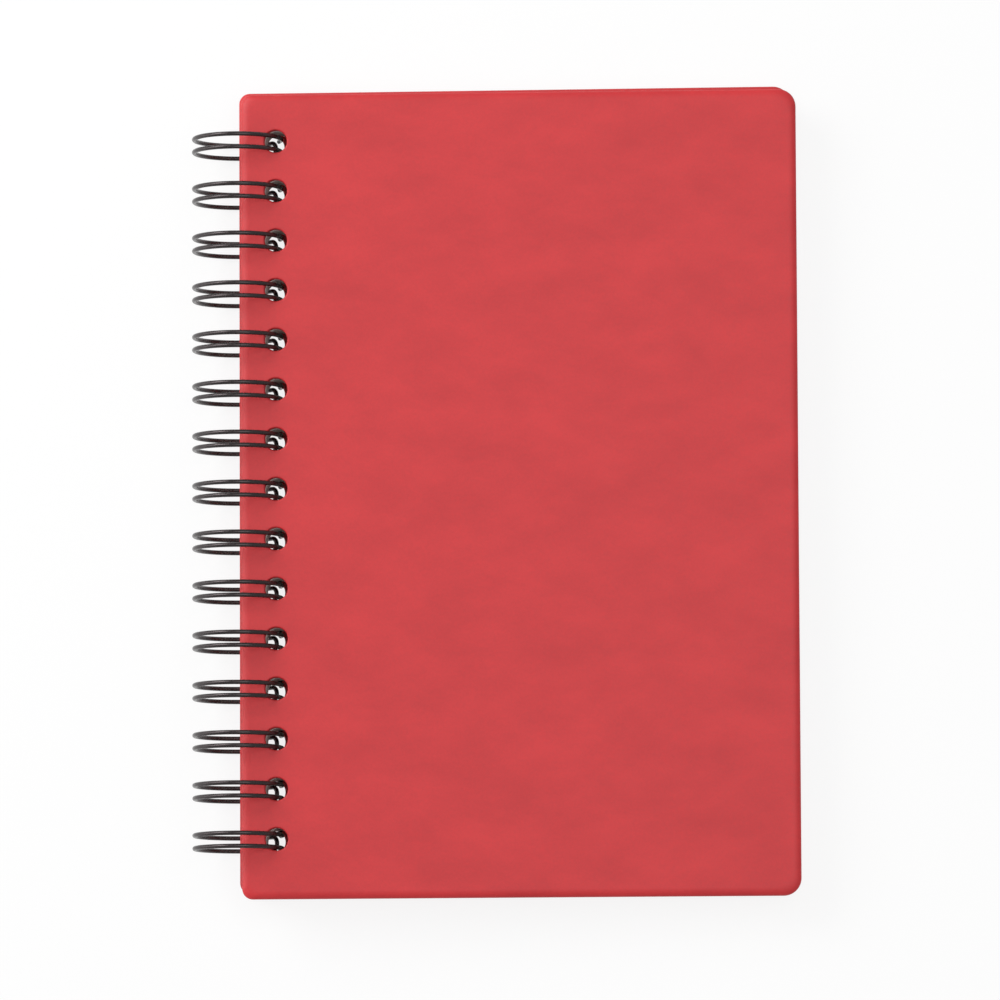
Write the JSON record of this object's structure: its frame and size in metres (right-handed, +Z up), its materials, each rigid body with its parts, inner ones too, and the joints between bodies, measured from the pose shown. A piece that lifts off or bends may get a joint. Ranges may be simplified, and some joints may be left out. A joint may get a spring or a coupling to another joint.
{
  "type": "wire-bound notebook",
  "caption": "Hard-cover notebook with soft-touch red covers that open on a black twin-loop wire spine, lying closed.",
  "frame": {"origin": "on the table, under the middle of the closed notebook's box", "axes": "+X from the spine to the fore-edge, +Y to the top of the page, +Z up from the table"},
  "size_m": [0.1542, 0.2072, 0.0233],
  "materials": {
    "cover_cloth": "soft-touch matte wrap with a very fine grain",
    "paper": "uncoated, with fine lines where the sheets' edges show",
    "black_wire": "black coated steel, semi-gloss"
  },
  "bodies": {
    "binding": {"binding_wire": "black_wire", "page_block": "paper"},
    "front_cover": {"front_cover": "cover_cloth"},
    "back_cover": {"back_cover": "cover_cloth"}
  },
  "joints": [
    {"name": "front_cover_turn", "type": "hinge", "parent": "binding", "child": "front_cover", "pos_m": [-0.06541, 0, 0.01167], "axis": [0, -1, 0], "range_deg": [0, 180]},
    {"name": "back_cover_turn", "type": "hinge", "parent": "binding", "child": "back_cover", "pos_m": [-0.06541, 0, 0.01167], "axis": [0, 1, 0], "range_deg": [0, 180]}
  ]
}
